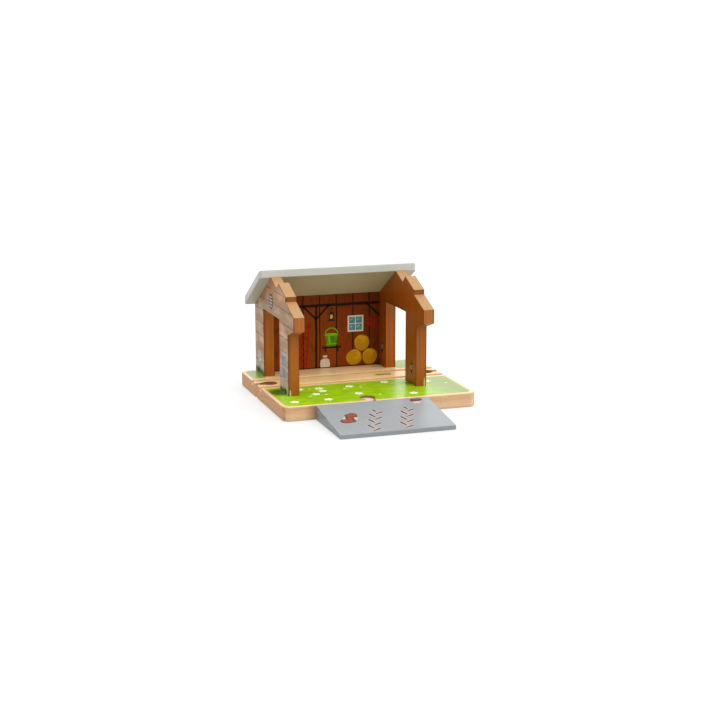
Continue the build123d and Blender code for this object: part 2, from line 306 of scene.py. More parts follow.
def beech(tree, along, pale="beech_pale", warm="beech_warm"):
    """Colour and height of beech whose grain runs along that axis: growth bands, pores and flecks."""
    pores = streaks(tree, along, 0.9, 40.0, detail=4.0, offset=3.1)
    fleck = tint("beech_fleck")
    wood = layered(
        tree, tint(pale),
        (tint(warm), mottle(tree, 0.35, 0.65, 1.0, along, 7.0, 160.0, detail=2.0, distortion=0.6)),
        (fleck, add(tree, "MapRange", pores, 0.5, 0.75, 0.0, 0.4, **SMOOTH)),
        (fleck, mottle(tree, 0.66, 0.74, 0.45, along, 0.7, 3.2, detail=1.0, offset=8.7)),
    )
    return wood, pores


def grass_masks(tree):
    """Masks that are all white where grass is printed: not on the border, the track or the barn's floor."""
    edge, corner = 0.15 * MM, sizes().print_corner
    inset = sizes().print_border + corner
    half = (plinth_high.x - inset, plinth_high.y - inset, 1.0)
    size = add(tree, "VectorMath", add(tree, "TexCoord").outputs["Object"], operation="ABSOLUTE")
    past = add(tree, "VectorMath", size, half, operation="SUBTRACT")
    outside = add(tree, "VectorMath", past, (0, 0, 0), operation="MAXIMUM")
    distance = add(tree, "VectorMath", outside, operation="LENGTH")
    from_track = apart(tree, coordinate(tree, Y), track_y)
    from_barn = apart(tree, coordinate(tree, X), barn_x)
    beside_barn = add(tree, "MapRange", from_barn, half_barn - edge, half_barn + edge, **SMOOTH)
    in_front = fade(tree, Y, track_y - edge, track_y + edge, 1.0, 0.0)
    behind = fade(tree, Y, wall_high.y - edge, wall_high.y + edge)
    open_air = add(tree, "Math", beside_barn, in_front, operation="MAXIMUM")
    return (
        add(tree, "MapRange", distance, corner - edge, corner + edge, 1.0, 0.0, **SMOOTH),
        add(tree, "MapRange", from_track, half_track - edge, half_track + edge, **SMOOTH),
        add(tree, "Math", open_air, behind, operation="MAXIMUM"),
        faces_towards(tree, Z),
        fade(tree, Z, deck - 0.3 * MM, deck - 0.1 * MM),
    )


def lines_between(tree, rows, share):
    """Mask of the thin lines at each whole number of rows."""
    from_line = apart(tree, add(tree, "Math", rows, operation="FRACT"), 0.5)
    return add(tree, "MapRange", from_line, 0.5 - share * 0.9, 0.5 - share * 0.3, **SMOOTH)


def planks(tree, across, along, width, start, plank_length=None, offset=0.0):
    """Printed boards: a shade from 0 to 1 for each board, and a mask of the wavering lines between them."""
    seam, waver, stagger = sizes().plank_seam, 1.1 * MM, 7.0
    wave = streaks(tree, along, 9.0, 30.0, detail=1.0, offset=offset)
    wobble = add(tree, "Math", wave, 0.5, operation="SUBTRACT")
    bent = add(tree, "Math", wobble, waver, coordinate(tree, across), operation="MULTIPLY_ADD")
    from_start = add(tree, "Math", bent, start, operation="SUBTRACT")
    rows = add(tree, "Math", from_start, width, operation="DIVIDE")
    row = add(tree, "Math", rows, operation="FLOOR")
    shade = add(tree, "TexWhiteNoise", row, noise_dimensions="1D")
    seams = lines_between(tree, rows, seam / width)
    if not plank_length:
        return shade, seams
    lengths = add(tree, "Math", coordinate(tree, along), plank_length, operation="DIVIDE")
    steps = add(tree, "Math", shade, stagger, lengths, operation="MULTIPLY_ADD")
    joints = lines_between(tree, steps, seam / plank_length)
    return shade, add(tree, "Math", seams, joints, operation="MAXIMUM")


def outside_planks(tree, along):
    """Weathered boards printed on the outside walls: paler and greyer towards the foot, and browner under
    the roof, partly from the print and partly from a painted shade of the roof.

    Their seams are drawn with a dry brush."""
    size = sizes()
    shade, lines = planks(tree, Z, along, size.plank_height, deck + size.plank_start, size.plank_length)
    return layered(
        tree, tint("weathered"),
        (tint("brown"), add(tree, "MapRange", shade, 0.0, 1.0, 0.0, 0.2, **SMOOTH)),
        (tint("beech_warm"), mottle(tree, 0.4, 0.7, 0.65, along, 10.0, 26.0, detail=2.0, offset=1.5)),
        (tint("seam"), mottle(tree, 0.52, 0.75, 0.32, along, 0.8, 22.0, detail=4.0, offset=5.0)),
        # paler and greyer towards the foot
        (tint("bleached", 1.12), fade(tree, Z, deck + 3 * MM, deck + 26 * MM, 0.65, 0.0)),
        # partly painted shade: the boards browner under the roof, where the roof shades them
        (tint("brown", 1.2), fade(tree, Z, barn_top - 26 * MM, barn_top - 10 * MM, 0.0, 0.35)),
        (tint("seam"), lines, mottle(tree, 0.35, 0.6, 0.9, along, 3.0, 9.0, 0.25, detail=2.0, offset=3.3)),
    )


def growth_rings(tree):
    """Arcs of a wide plank's growth rings, as its sawn ends show them."""
    ring_gap = 5.067 * MM
    place = add(tree, "TexCoord").outputs["Object"]
    from_pith = add(tree, "Mapping", Vector=place, Location=(0, 20 * MM, 60 * MM))
    rings = add(
        tree, "TexWave", Vector=from_pith, Scale=math.tau / (20 * ring_gap), Distortion=2.5, Detail=2.0,
        Detail_Scale=1.5, wave_type="RINGS", rings_direction="X",
    )
    return add(tree, "MapRange", rings.outputs["Fac"], 0.55, 0.95, 0.0, 0.5, **SMOOTH)


def doorway_painted_shade(tree):
    """Mask of the thin dark line round a doorway: a painted shade at the edge of the opening."""
    middle, half = (doorway_front + doorway_rear) / 2, (doorway_rear - doorway_front) / 2
    beside = add(tree, "Math", apart(tree, coordinate(tree, Y), middle), half, operation="SUBTRACT")
    above = add(tree, "Math", coordinate(tree, Z), doorway_top, operation="SUBTRACT")
    outside = add(tree, "Math", beside, above, operation="MAXIMUM")
    return add(tree, "MapRange", outside, 0.9 * MM, 1.7 * MM, 0.6, 0.0, **SMOOTH)


# ---- materials ---------------------------------------------------------------------------------


def varnished_beech():
    """Sanded beech under clear varnish, with grass screen-printed on its top: warm, pale and glossy.

    The walls of the peg sockets are painted darker brown, a painted shade in the recesses. Painted shade
    also darkens the bare floor in the barn's inner right corner, and a painted shadow of the ramp darkens
    the plinth beside its left edge. The grass is painted duller and darker at the right end, a painted
    shade, and takes the same green behind the track; painted shadows of the front legs darken it at their
    feet."""
    material, tree = blank("varnished_beech_with_print")
    fleck = tint("beech_fleck")
    wood, pores = beech(tree, X)
    from_track = apart(tree, coordinate(tree, Y), track_y)
    border = add(tree, "MapRange", from_track, half_track, half_track + 0.5 * MM, 0.0, 0.6, **SMOOTH)
    planed = layered(
        tree, beech(tree, X, "planed", "planed_warm")[0],
        (tint("beech_pale"), border),
        # painted shade in the floor's inner right corner, where the back wall meets the right gable
        (tint("beech_fleck", 0.5), near(tree, right_low.x, wall_low.y, 1.0 * MM, 7.0 * MM), 0.6),
    )
    sawn = layered(
        tree, tint("end_grain"),
        (fleck, mottle(tree, 0.45, 0.65, 0.3, X, 0.8, 0.8, detail=2.0, offset=4.4)),
        (fleck, growth_rings(tree)),
    )
    upright = add(tree, "Math", coordinate(tree, Z, "Normal"), operation="ABSOLUTE")
    walls = add(tree, "MapRange", upright, 0.1, 0.6, 1.0, 0.0, **SMOOTH)
    wood = layered(
        tree, wood,
        # painted shadow of the ramp on the plinth, beside the ramp's left edge
        (tint("beech_fleck", 0.7), near(tree, ramp_low.x, plinth_low.y, 0.5 * MM, 10.0 * MM), 0.5),
        (planed, faces_towards(tree, Z)),
        (sawn, sawn_ends(tree)),
        # painted shade in the recesses: the upright walls of each peg socket darker brown
        *((tint("beech_fleck", 0.8), near(tree, *place, 8.0 * MM, 1.0 * MM), walls) for place in SOCKETS),
    )
    # painted shade: the grass beside the right gable turns duller and darker; behind the track it takes the
    # same green
    faded = fade(tree, X, right_high.x - 12 * MM, right_high.x + 22 * MM, 0.0, 0.85)
    behind_track = fade(tree, Y, track_y, track_y + half_track, 0.0, 0.75)
    grass = layered(
        tree, tint("grass"),
        (tint("grass_light"), mottle(tree, 0.4, 0.6, 1.0, X, 6.0, 11.0, offset=2.0)),
        (tint("grass_dark"), mottle(tree, 0.6, 0.8, 0.2, Y, 0.8, 3.5, detail=2.0, offset=6.0)),
        (tint("grass_worn"), add(tree, "Math", faded, behind_track, operation="MAXIMUM")),
    )
    # painted shadows of the front legs: darker grass beside the foot of each, wider at the left leg
    for leg_x, reach, depth in ((left_low.x, 6.0 * MM, 0.9), (right_low.x, 1.0 * MM, 0.75)):
        shade = near(tree, leg_x - reach / 2, front_leg_y * MM + reach / 2, reach, 8.0 * MM)
        grass = layered(tree, grass, (tint("grass_dark", 1.1), shade, depth))
    gloss = add(tree, "MapRange", faces_towards(tree, Z), 0.0, 1.0, 0.45, 0.29, **SMOOTH)
    finish = layered(tree, wood, (grass, *grass_masks(tree)))
    surface(tree, finish, pores, 0.03, Roughness=gloss, IOR=1.45)
    return material


def raw_beech(name, along, pale="beech_pale"):
    """Turned or sawn beech left without varnish: pale and matt."""
    material, tree = blank(name)
    wood, pores = beech(tree, along, pale, pale)
    surface(tree, wood, pores, 0.06, Roughness=0.62)
    return material


def barn_paint(name, outward):
    """Sprayed brown paint, with boards printed on the outside face and clear oil on the sloping cuts.

    The paint is darker on the rounded edges and beside the outer edge of each front face."""
    material, tree = blank(name)
    grain = streaks(tree, Z, 0.9, 35.0)
    front, inward = faces_towards(tree, Y, -1), faces_towards(tree, X, -outward)
    from_edge = apart(tree, coordinate(tree, X), right_high.x if outward > 0 else left_low.x)
    rim = add(tree, "MapRange", from_edge, 0.4 * MM, 2.4 * MM, 0.5, 0.0, **SMOOTH)
    oiled = layered(
        tree, beech(tree, Y, "oiled", "oiled")[0],
        (tint("beech_fleck"), mottle(tree, 0.42, 0.66, 0.6, Y, 1.3, 9.0, offset=6.5)),
        (tint("straw_wood"), mottle(tree, 0.5, 0.68, 0.5, Y, 5.0, 8.0, detail=1.0, offset=2.5)),
    )
    sideways = add(tree, "Math", coordinate(tree, X, "Normal"), operation="ABSOLUTE")
    rest = add(tree, "Math", 1.0, sideways, operation="SUBTRACT")
    turning = add(tree, "Math", sideways, rest, operation="MULTIPLY")
    paint = layered(
        tree, tint("brown"),
        (tint("plank_red"), mottle(tree, 0.35, 0.65, 0.25, Z, 12.0, 40.0, detail=2.0, offset=4.0)),
        (tint("seam"), add(tree, "MapRange", grain, 0.55, 0.8, 0.0, 0.22, **SMOOTH)),
        # the sawn front: paler, with a dark rim and dark bands where the paint has soaked in
        (tint("brown", 1.2), front, 0.6),
        (tint("brown", 0.25), front, rim),
        (tint("brown", 0.55), front, mottle(tree, 0.4, 0.65, 0.38, Z, 2.2, 60.0, detail=2.0, offset=9.0)),
        (tint("plank_red"), inward, 0.35),
        # painted shade: a thin dark line round the doorway on the inner face
        (tint("seam"), inward, doorway_painted_shade(tree)),
        # the laps of the slope: paler towards the ridge, with a dark riser under the topmost
        (tint("beech_pale"), front, fade(tree, Z, barn_top - 38 * MM, barn_top - 34 * MM, 0.0, 0.06)),
        (tint("brown", 0.4), front, fade(tree, Z, barn_top - 16 * MM, barn_top - 15 * MM, 0.0, 0.6)),
        (tint("plank_red"), fade(tree, Z, deck + 2 * MM, deck + 22 * MM, 0.3, 0.0)),
        (oiled, faces_towards(tree, Z, 1, 0.6)),
        (outside_planks(tree, Y), faces_towards(tree, X, outward)),
        # the rounded edges, where the normal is neither level with X nor square to it
        (tint("seam", 2.0), add(tree, "MapRange", turning, 0.03, 0.1, 0.0, 0.65, **SMOOTH)),
    )
    surface(tree, paint, grain, 0.03, Roughness=0.32, IOR=1.38)
    return material


def wall_paint():
    """Boards printed on a thin sheet: upright and red-brown inside, level and weathered outside."""
    material, tree = blank("printed_back_wall")
    shade, lines = planks(tree, X, Z, sizes().plank_width, wall_left * MM, offset=2.2)
    grain = streaks(tree, Z, 0.7, 22.0, detail=4.0, offset=1.1)
    knots = mottle(tree, 0.52, 0.7, 0.25, Z, 5.0, 11.0, detail=2.0, distortion=1.2, offset=7.7)
    # painted shade: darker towards the right end, where the right gable shades the wall, and under the eave,
    # where the roof shades it
    corner = fade(tree, X, (wall_right - 34) * MM, (wall_right - 3) * MM, 0.0, 0.42)
    painted_eave_shade = fade(tree, Z, (wall_top - 13) * MM, (wall_top - 9) * MM, 0.0, 0.18)
    boards = layered(
        tree, tint("plank_red"),
        (tint("brown"), add(tree, "MapRange", shade, 0.0, 1.0, 0.0, 0.18, **SMOOTH)),
        (tint("seam"), knots),
        (tint("seam"), add(tree, "MapRange", grain, 0.5, 0.75, 0.0, 0.45, **SMOOTH)),
        (tint("seam"), add(tree, "Math", corner, painted_eave_shade, operation="MAXIMUM")),
        (tint("seam", 0.6), lines),
        (outside_planks(tree, X), faces_towards(tree, Y)),
    )
    surface(tree, boards, grain, 0.03, Roughness=0.5, IOR=1.2)
    return material


def satin_grey(name, grey, least_ridge, most_ridge, under_roof_shade=None):
    """Sprayed satin paint on beech: even and cool, with the grain just showing. Under the roof a warmer,
    darker grey is painted between the gables: painted shade with the painted brown bounce light of the
    walls.

    The sawn ends have soaked up more of it and show darker ridges."""
    material, tree = blank(name)
    grain = streaks(tree, X, 1.0, 45.0, detail=4.0)
    ridges = mottle(tree, 0.42, 0.6, most_ridge, Y, 1.3, 26.0, least_ridge, offset=9.3)
    paint = layered(
        tree, tint(grey),
        (tint(grey, 0.88), mottle(tree, 0.3, 0.7, 0.4, X, 14.0, 40.0, detail=2.0, offset=3.0)),
        (tint(grey, 0.88), add(tree, "MapRange", grain, 0.5, 0.8, 0.0, 0.5, **SMOOTH)),
        (tint(grey, 0.6), sawn_ends(tree), ridges),
    )
    if under_roof_shade:
        # painted shade under the roof: the warm grey fades out past each gable, where the overhang is open
        # to the light
        past_left = fade(tree, X, left_low.x - 1 * MM, left_low.x + 1 * MM, 0.5, 1.0)
        past_right = fade(tree, X, right_high.x - 1 * MM, right_high.x + 1 * MM, 1.0, 0.2)
        between = add(tree, "Math", past_left, past_right, operation="MINIMUM")
        paint = layered(tree, paint, (tint(under_roof_shade), faces_towards(tree, Z, -1), between))
    surface(tree, paint, grain, 0.03, Roughness=0.3, IOR=1.45)
    return material


def plated_steel(name, metal, roughness):
    """Turned steel with a thin bright plating: fine rings and a soft highlight."""
    material, tree = blank(name)
    rings = streaks(tree, Z, 0.25, 0.12, detail=2.0)
    dull = add(tree, "MapRange", rings, 0.35, 0.65, **SMOOTH)
    plating = layered(tree, tint(metal), (tint(metal, 0.8), dull))
    surface(tree, plating, rings, 0.01, Metallic=1.0, Roughness=roughness)
    return material


def ink(name, first, share, second, second_share, across_mm=0.9, along_mm=5.0, along=Z, amount=0.6):
    """Screen-printed ink under varnish, mottled between two colours as a drawn brush stroke is."""
    material, tree = blank(name)
    strokes = streaks(tree, along, across_mm, along_mm)
    thin = add(tree, "MapRange", strokes, 0.4, 0.65, 0.0, amount, **SMOOTH)
    finish = layered(tree, tint(first, share), (tint(second, second_share), thin))
    surface(tree, finish, strokes, 0.01, 0.3, Roughness=0.45, IOR=1.25)
    return material


# Two colours of each ink, each with its share. Then, where they aren't the usual ones, the width and the
# length of its strokes in millimetres, their axis, and how much of the second colour they show.
INKS = {
    "dark_timber_ink": ("seam", 1.0, "seam", 2.2),
    "white_frame_ink": ("white", 1.0, "white", 0.78),
    "teal_pane_ink": ("glass", 1.0, "glass", 0.6, 2.0, 3.0),
    "pale_glint_ink": ("glass", 1.9, "white", 1.0),
    "slate_blue_ink": ("slate", 1.0, "slate", 0.75),
    "straw_ink": ("straw", 1.0, "straw_dark", 1.0, 0.5, 2.2, X, 0.25),
    "dark_straw_ink": ("straw_dark", 1.0, "straw_dark", 0.6),
    "bucket_green_ink": ("leaf", 1.0, "leaf", 0.6, 2.0, 9.0),
    "bucket_light_ink": ("leaf", 1.8, "grass_light", 1.0),
    "sack_ink": ("white", 0.82, "beech_warm", 1.0, 0.5, 3.0),
    "red_paint_ink": ("red", 1.0, "red", 0.6),
    "iron_ink": ("iron", 1.0, "slate", 0.3),
    "lamp_glow_ink": ("straw", 1.0, "white", 1.0),
    "vent_shade_ink": ("weathered", 0.35, "seam", 1.0),
    "pale_frame_ink": ("slate", 1.25, "white", 0.8),
    "bright_iron_ink": ("white", 1.0, "slate", 1.3),
    "pale_iron_ink": ("white", 0.62, "slate", 1.0),
    "pale_blade_ink": ("grass_light", 1.0, "beech_pale", 1.0, 0.8, 4.0, Z, 0.8),
    "grass_dark_ink": ("grass_dark", 1.0, "grass_dark", 1.8, 0.8, 4.0, Z, 0.5),
    "grass_light_ink": ("grass", 0.7, "grass_dark", 1.0, 0.8, 4.0, Z, 0.7),
    "olive_leaf_ink": ("grass", 0.45, "leaf", 0.7, 0.8, 3.0, X),
    "white_petal_ink": ("petal", 1.0, "petal_shade", 1.0, 0.6, 1.2, Y),
    "cream_petal_ink": ("cream", 1.0, "cream_shade", 1.0, 0.6, 1.2, Y),
    "yellow_heart_ink": ("heart", 1.0, "straw", 1.0, 0.4, 0.6, Y, 0.3),
    "mud_smear_ink": ("mud_pale", 1.0, "mud_pale", 0.8, 0.8, 1.8, X),
    "tyre_smear_ink": ("mud_pale", 0.86, "mud_pale", 0.68, 0.8, 1.8, X),
    "tyre_mark_ink": ("tread_ink", 1.0, "tread_ink", 1.5, 0.6, 1.5, X),
    "dark_mud_ink": ("mud", 0.35, "mud", 0.6, 0.9, 2.0, X),
    "mud_ink": ("mud", 1.0, "mud", 0.75, 1.4, 3.0, X),
}

# ---- drawing: outlines are lists of (x, y) in millimetres on a face ----------------------------


def turned(points, degrees, x=0.0, y=0.0):
    """Points turned about the origin and then moved."""
    c, s = math.cos(math.radians(degrees)), math.sin(math.radians(degrees))
    return [(x + px * c - py * s, y + px * s + py * c) for px, py in points]


def panel(x0, y0, x1, y1):
    """A rectangle."""
    return [(x0, y0), (x1, y0), (x1, y1), (x0, y1)]


def oval(x, y, rx, ry=None, count=32):
    """An ellipse, or a circle."""
    ry = rx if ry is None else ry
    angles = [math.tau * i / count for i in range(count)]
    return [(x + rx * math.cos(a), y + ry * math.sin(a)) for a in angles]


def hoop(x, y, radius, width, start, end, count=20):
    """A curved band, such as a handle, from one angle to the other."""
    angles = [math.radians(start + (end - start) * i / (count - 1)) for i in range(count)]
    outer, inner = radius + width / 2, radius - width / 2
    rim = [(x + outer * math.cos(a), y + outer * math.sin(a)) for a in angles]
    return rim + [(x + inner * math.cos(a), y + inner * math.sin(a)) for a in reversed(angles)]


def bar(x0, y0, x1, y1, width, dice=None):
    """A straight bar from one point to the other. With dice its edges waver like a brush stroke."""
    run = Vector((x1 - x0, y1 - y0))
    side = Vector((-run.y, run.x)).normalized() * width / 2
    steps = max(1, int(run.length / 5))
    edges = ([], [])
    for edge, sign in zip(edges, (-1, 1)):
        for i in range(steps + 1):
            off = sign * (1 + (dice.uniform(-0.14, 0.14) if dice else 0))
            edge.append((x0 + run.x * i / steps + side.x * off, y0 + run.y * i / steps + side.y * off))
    return edges[0] + edges[1][::-1]


def splash(x, y, rx, ry, dice, rough=0.14, count=30):
    """A puddle with a soft uneven rim."""
    phases = [dice.uniform(0, math.tau) for _ in range(4)]
    points = []
    for i in range(count):
        a = math.tau * i / count
        swell = 1 + sum(rough / (k + 1) * math.sin((k + 2) * a + phase) for k, phase in enumerate(phases))
        points.append((x + rx * swell * math.cos(a), y + ry * swell * math.sin(a)))
    return points


def blade():
    """One upright blade of grass at its full height, rooted at the origin."""
    tall = drawn("blade")
    return [(-0.6, 0), (0.6, 0), (0.6, tall * 0.35), (0.42, tall * 0.7), (0, tall), (-0.42, tall * 0.7),
            (-0.6, tall * 0.35)]


def tuft(x, y, dice, spread=4.4, blades=7, share=1.0):
    """Places of the blades that fan out from one root."""
    places = []
    for i in range(blades):
        side = i / (blades - 1) - 0.5
        tall = share * dice.uniform(0.5, 1.0) * (1 - abs(side) * 0.5)
        places.append((x + side * spread, y, -side * 26 + dice.uniform(-5, 5), 1.0, tall))
    return places


def petals():
    """The outline of a flower with five round petals, one unit from its heart to a petal's end."""
    points = []
    for i in range(40):
        a = math.tau * i / 40
        reach = 0.42 + 0.58 * abs(math.cos(2.5 * a)) ** 0.6
        points.append((reach * math.cos(a), reach * math.sin(a)))
    return points


def printed(outline, layer=1):
    """A thin printed shape whose rim follows the outline. Higher layers are printed over lower ones."""
    bpy.ops.object.select_all(action="DESELECT")
    bpy.ops.mesh.primitive_circle_add(vertices=len(outline), radius=MM, fill_type="NGON")
    shape = bpy.context.object
    for vertex, (x, y) in zip(shape.data.vertices, outline):
        vertex.co = (x * MM, y * MM, -sizes().print_thickness)
    bpy.ops.object.mode_set(mode="EDIT")
    bpy.ops.mesh.select_all(action="SELECT")
    rise = sizes().print_thickness * (1 + layer)
    bpy.ops.mesh.extrude_region_move(TRANSFORM_OT_translate={"value": (0, 0, rise)})
    bpy.ops.mesh.select_all(action="SELECT")
    bpy.ops.mesh.normals_make_consistent(inside=False)
    bpy.ops.object.mode_set(mode="OBJECT")
    return shape


def repeated(outline, layer, places):
    """A print modelled once and copied to each place: x, y, degrees, and its scale across and up."""
    model = printed(outline, layer)
    copies = []
    for x, y, degrees, across, up in places:
        copy = bpy.data.objects.new(model.name, model.data.copy())
        bpy.context.scene.collection.objects.link(copy)
        spin = Matrix.Rotation(math.radians(degrees), 4, "Z") @ Matrix.Diagonal((across, up, 1, 1))
        copy.data.transform(Matrix.Translation((x * MM, y * MM, 0)) @ spin)
        copies.append(copy)
    bpy.data.objects.remove(model)
    return copies


def face_matrix(origin, right, up):
    """Frame of a face: a drawing's X runs to the right and its Y up, seen from outside the face."""
    right, up = Vector(right).normalized(), Vector(up).normalized()
    turn = Matrix((right, up, right.cross(up))).transposed().to_4x4()
    return Matrix.Translation(Vector(origin)) @ turn


def ramp_face():
    """Frame of the ramp's slope. Its origin is on the middle line, at the foot of the slope."""
    sloping = [p for p in frame["nodes"]["ramp"].data.polygons if 0.9 < p.normal.z < 0.999]
    slope = max(sloping, key=lambda p: p.area)
    up = Vector((1, 0, 0)).cross(slope.normal) * -1
    foot = slope.center + up * ((ramp_low.y - slope.center.y) / up.y)
    return face_matrix((0, foot.y, foot.z), (1, 0, 0), up)


def faces():
    """The faces that carry prints: each one's frame, slot and body.

    Drawings use the part's own millimetres along each face."""
    east, west, north, south, up = (1, 0, 0), (-1, 0, 0), (0, 1, 0), (0, -1, 0), (0, 0, 1)
    upright = {
        "wall_inside": ((0, wall_low.y, 0), east, "back_wall_paint"),
        "wall_outside": ((0, wall_high.y, 0), west, "back_wall_paint"),
        "left_outside": ((left_low.x, 0, 0), south, "gable_paint"),
        "left_inside": ((left_high.x, 0, 0), north, "gable_paint"),
        "right_outside": ((right_high.x, 0, 0), north, "gable_paint"),
        "right_inside": ((right_low.x, 0, 0), south, "gable_paint"),
        "legs_front": ((0, front_leg_low * MM, 0), east, "gable_paint"),
    }
    found = {name: (face_matrix(at, right, up), slot, "barn") for name, (at, right, slot) in upright.items()}
    found["plinth_top"] = (face_matrix((0, 0, deck), east, north), "plinth_wood", "barn")
    found["ramp_top"] = (ramp_face(), "ramp_paint", "ramp")
    return found


def lay(name, face, ink_name, shapes, layer=1):
    """Join prints to one piece, lay it on a face, and give it its ink and its body.

    An outline among the shapes is printed in the layer first."""
    shapes = [printed(shape, layer) if isinstance(shape, list) else shape for shape in shapes]
    piece = shapes[0]
    bpy.ops.object.select_all(action="DESELECT")
    for shape in shapes:
        shape.select_set(True)
    bpy.context.view_layer.objects.active = piece
    if len(shapes) > 1:
        bpy.ops.object.join()
    piece.name = name
    piece.data.name = name
    piece.matrix_world, slot, body = faces()[face]
    bpy.ops.object.transform_apply(location=True, rotation=True, scale=True)
    piece.data.materials.clear()
    piece.data.materials.append(bpy.data.materials.get(ink_name) or ink(ink_name, *INKS[ink_name]))
    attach(piece, body)


def dress(node, material):
    """Give a carried-over piece its finish."""
    mesh = frame["nodes"][node].data
    mesh.materials.clear()
    mesh.materials.append(material)


# ---- operators: the finish of the carried-over pieces ------------------------------------------


class BARN_OT_wood(Operator):
    """Finish the beech plinth, the ramp's peg and the hidden dowels"""

    bl_idname = "barn.wood"
    bl_label = "Finish the wood"

    def execute(self, context):
        dress("plinth", varnished_beech())
        dress("ramp_peg", raw_beech("raw_beech_level", Y, "peg_pale"))
        upright = raw_beech("raw_beech_upright", Z)
        dress("ramp_peg_pin", upright)
        for node in frame["nodes"]:
            if node.endswith("_dowel"):
                dress(node, upright)
        return {"FINISHED"}


class BARN_OT_paint(Operator):
    """Paint the gables, the back wall, the roof and the ramp"""

    bl_idname = "barn.paint"
    bl_label = "Paint the boards"

    def execute(self, context):
        dress("left_gable", barn_paint("brown_paint_left", -1))
        dress("right_gable", barn_paint("brown_paint_right", 1))
        dress("back_wall", wall_paint())
        dress("roof_panel", satin_grey("satin_grey_roof", "roof_grey", 0.3, 0.5, "soffit_grey"))
        dress("ramp", satin_grey("satin_grey_ramp", "ramp_grey", 0.0, 0.8))
        return {"FINISHED"}


class BARN_OT_fixings(Operator):
    """Finish the screws and the roof pins"""

    bl_idname = "barn.fixings"
    bl_label = "Finish the fixings"

    def execute(self, context):
        zinc = plated_steel("zinc_plated_steel", "zinc", 0.32)
        bright = plated_steel("bright_steel", "steel", 0.25)
        for node in frame["nodes"]:
            if node.endswith("_screw"):
                dress(node, zinc)
            if node.endswith("_roof_pin"):
                dress(node, bright)
        return {"FINISHED"}


# ---- operators: the prints ---------------------------------------------------------------------


class BARN_OT_timbers(Operator):
    """Print the beam, the post, the braces and the shelf on the inside of the back wall"""

    bl_idname = "barn.timbers"
    bl_label = "Print the timbers"

    def execute(self, context):
        dice = random.Random(sizes().seed)
        beam, post, brace = drawn("beam"), drawn("post"), drawn("post") * 0.9
        post_x, knee_y = wall_left + 42.5, beam_y - 12.0
        shelf_left, shelf_right, bracket_foot = post_x + 5.5, post_x + 23, shelf_y - 4.4
        timbers = [
            bar(wall_left, beam_y, wall_right, beam_y, beam, dice),
            bar(wall_left, floor_line + 0.4, wall_right, floor_line + 0.4, 0.8),
            bar(post_x, floor_line, post_x, beam_y, post, dice),
            bar(post_x, knee_y, post_x - 12.0, beam_y, brace, dice),
            bar(post_x, knee_y, post_x + 12.0, beam_y, brace, dice),
            bar(wall_right, knee_y, wall_right - 12.0, beam_y, brace, dice),
            bar(shelf_left, shelf_y, shelf_right, shelf_y, 1.8, dice),
            bar(shelf_left + 3, bracket_foot, shelf_left + 3, shelf_y, 1.0, dice),
            bar(shelf_right - 3, bracket_foot, shelf_right - 3, shelf_y, 1.0, dice),
        ]
        lay("printed_timbers", "wall_inside", "dark_timber_ink", timbers)
        return {"FINISHED"}


class BARN_OT_window(Operator):
    """Print a four-pane window on both sides of the back wall, with shutters on the outside"""

    bl_idname = "barn.window"
    bl_label = "Print the windows"

    def execute(self, context):
        centre_y, pane = floor_line + 38.5, drawn("pane")
        self.window("inside", wall_right - 22.5, centre_y, pane)
        outer = self.window("outside", -barn_x / MM, centre_y - 3, pane * 1.3)
        self.shutters(-barn_x / MM, centre_y - 3, outer)
        return {"FINISHED"}

    def window(self, side, x, y, pane):
        """One square window of four panes. Gives half its width with its frame."""
        glazing_bar, half = pane * 0.13, pane / 2
        outer = pane * 1.24 + glazing_bar / 2
        panes, glints = [], []
        for sx in (-1, 1):
            for sy in (-1, 1):
                cx, cy = x + sx * (half + glazing_bar / 2), y + sy * (half + glazing_bar / 2)
                panes.append(panel(cx - half, cy - half, cx + half, cy + half))
                ends = (cx - half * 0.55, cy - half * 0.1, cx + half * 0.1, cy + half * 0.65)
                glints.append(bar(*ends, half * 0.26))
        face, back = "wall_" + side, panel(x - outer, y - outer, x + outer, y + outer)
        lay("printed_window_frame_" + side, face, "white_frame_ink", [back])
        lay("printed_window_panes_" + side, face, "teal_pane_ink", panes, layer=2)
        lay("printed_window_glints_" + side, face, "pale_glint_ink", glints, layer=3)
        return outer

    def shutters(self, x, y, outer):
        """A boarded leaf on each side of the window."""
        leaves, straps = [], []
        for side in (-1, 1):
            hinge, edge = x + side * (outer + 0.6), x + side * (outer * 2 - 0.6)
            leaves.append(panel(min(hinge, edge), y - outer, max(hinge, edge), y + outer))
            for strap_y in (y - outer * 0.6, y + outer * 0.6):
                straps.append(bar(hinge, strap_y, edge, strap_y, 1.2))
            middle = (hinge + edge) / 2
            straps.append(bar(middle, y - outer, middle, y + outer, 0.5))
        lay("printed_shutters", "wall_outside", "slate_blue_ink", leaves)
        lay("printed_shutter_straps", "wall_outside", "dark_timber_ink", straps, layer=2)


